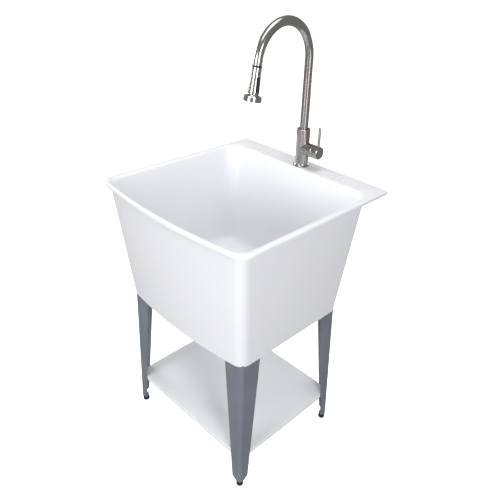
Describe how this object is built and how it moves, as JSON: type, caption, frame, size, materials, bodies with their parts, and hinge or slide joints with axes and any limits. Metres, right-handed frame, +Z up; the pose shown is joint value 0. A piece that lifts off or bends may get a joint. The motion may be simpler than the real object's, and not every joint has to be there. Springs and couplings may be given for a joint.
{
  "type": "utility laundry sink",
  "caption": "Free-standing white moulded laundry tub on splayed grey steel legs with a lower shelf and a tall brushed pull-down mixer tap on its rear deck.",
  "frame": {"origin": "on the floor under the middle of the plan", "axes": "+Z up along the longest extent, +X to the user's right, -Y towards the user"},
  "size_m": [0.58, 0.5869, 1.2811],
  "materials": {
    "white_plastic": "satin",
    "shelf_plastic": "satin",
    "leg_paint": "satin",
    "zinc": "satin",
    "stainless": "satin",
    "chrome": "polished",
    "brushed_nickel": "brushed",
    "brass": "satin",
    "white_nylon": "matte",
    "black_plastic": "matte",
    "black_rubber": "matte"
  },
  "bodies": {
    "stand": {"tub": "white_plastic", "leg_front_left": "leg_paint", "leg_front_right": "leg_paint", "leg_back_left": "leg_paint", "leg_back_right": "leg_paint", "leg_screws": "zinc", "shelf": "shelf_plastic", "shelf_screws": "zinc", "leveler_nuts": "zinc", "drain_body": "chrome", "drain_gasket": "black_rubber", "drain_washer": "white_nylon", "drain_locknut": "white_nylon", "tailpiece": "white_nylon", "tailpiece_washer": "white_nylon", "coupling_nut": "white_nylon", "base_gasket": "black_rubber", "base_ring": "brushed_nickel", "mounting_shank": "brass", "mounting_gasket": "black_rubber", "mounting_washer": "zinc", "mounting_nut": "brass", "nut_screws": "zinc", "faucet_body": "brushed_nickel", "cartridge": "white_nylon", "cartridge_nut": "brass", "valve_dome": "brushed_nickel"},
    "foot_front_left": {"leveler_pad_front_left": "black_rubber"},
    "stem_front_left": {"leveler_stem_front_left": "zinc"},
    "foot_front_right": {"leveler_pad_front_right": "black_rubber"},
    "stem_front_right": {"leveler_stem_front_right": "zinc"},
    "foot_back_left": {"leveler_pad_back_left": "black_rubber"},
    "stem_back_left": {"leveler_stem_back_left": "zinc"},
    "foot_back_right": {"leveler_pad_back_right": "black_rubber"},
    "stem_back_right": {"leveler_stem_back_right": "zinc"},
    "basket": {"drain_basket": "stainless"},
    "mixer_swivel": {"stem_carrier": "white_nylon", "stem_pin": "stainless"},
    "handle": {"cartridge_stem": "brass", "handle_hub": "brushed_nickel", "lever_rod": "brushed_nickel", "hub_screw": "stainless"},
    "spout": {"spout_tube": "brushed_nickel", "spout_bushing": "black_plastic", "spout_rings": "black_rubber", "dock_sleeve": "black_plastic"},
    "connector": {"hose_connector": "brass"},
    "spray_head": {"spray_shell": "brushed_nickel", "button_bezel": "black_plastic", "nozzle_ring": "brushed_nickel", "spray_face": "black_plastic", "aerator": "black_plastic"},
    "rocker": {"mode_rocker": "black_plastic"}
  },
  "joints": [
    {"name": "foot_slide_front_left", "type": "slide", "parent": "stand", "child": "foot_front_left", "axis": [0, 0, 1], "range_m": [-0.014, 0.006]},
    {"name": "stem_turn_front_left", "type": "hinge", "parent": "foot_front_left", "child": "stem_front_left", "pos_m": [-0.2508, -0.2301, 0.02], "axis": [0, 0, 1], "range_deg": [-4040, 1740]},
    {"name": "foot_slide_front_right", "type": "slide", "parent": "stand", "child": "foot_front_right", "axis": [0, 0, 1], "range_m": [-0.014, 0.006]},
    {"name": "stem_turn_front_right", "type": "hinge", "parent": "foot_front_right", "child": "stem_front_right", "pos_m": [0.2508, -0.2301, 0.02], "axis": [0, 0, 1], "range_deg": [-4040, 1740]},
    {"name": "foot_slide_back_left", "type": "slide", "parent": "stand", "child": "foot_back_left", "axis": [0, 0, 1], "range_m": [-0.014, 0.006]},
    {"name": "stem_turn_back_left", "type": "hinge", "parent": "foot_back_left", "child": "stem_back_left", "pos_m": [-0.2508, 0.1715, 0.02], "axis": [0, 0, 1], "range_deg": [-4040, 1740]},
    {"name": "foot_slide_back_right", "type": "slide", "parent": "stand", "child": "foot_back_right", "axis": [0, 0, 1], "range_m": [-0.014, 0.006]},
    {"name": "stem_turn_back_right", "type": "hinge", "parent": "foot_back_right", "child": "stem_back_right", "pos_m": [0.2508, 0.1715, 0.02], "axis": [0, 0, 1], "range_deg": [-4040, 1740]},
    {"name": "basket_lift", "type": "slide", "parent": "stand", "child": "basket", "axis": [0, 0, 1], "range_m": [0, 0.12]},
    {"name": "temperature_turn", "type": "hinge", "parent": "stand", "child": "mixer_swivel", "pos_m": [0.044, 0.2476, 0.915], "axis": [1, 0, 0], "range_deg": [-45, 45]},
    {"name": "flow_tilt", "type": "hinge", "parent": "mixer_swivel", "child": "handle", "pos_m": [0.044, 0.2476, 0.915], "axis": [0, 1, 0], "range_deg": [0, 20]},
    {"name": "spout_swing", "type": "hinge", "parent": "stand", "child": "spout", "pos_m": [0, 0.2476, 0.955], "axis": [0, 0, 1], "continuous": true},
    {"name": "head_pull", "type": "slide", "parent": "spout", "child": "connector", "axis": [0, -0.1736, -0.9848], "range_m": [0, 0.45]},
    {"name": "head_swivel", "type": "hinge", "parent": "connector", "child": "spray_head", "pos_m": [0, 0.04453, 1.16847], "axis": [0, -0.1736, -0.9848], "continuous": true},
    {"name": "mode_press", "type": "hinge", "parent": "spray_head", "child": "rocker", "pos_m": [0.0115, 0.03723, 1.12711], "axis": [0, 0.9848, -0.1736], "range_deg": [-4, 4]}
  ],
  "couplings": [
    {"joint": "stem_turn_front_left", "follows": "foot_slide_front_left", "rad_per_m": 5026.5},
    {"joint": "stem_turn_front_right", "follows": "foot_slide_front_right", "rad_per_m": 5026.5},
    {"joint": "stem_turn_back_left", "follows": "foot_slide_back_left", "rad_per_m": 5026.5},
    {"joint": "stem_turn_back_right", "follows": "foot_slide_back_right", "rad_per_m": 5026.5}
  ]
}
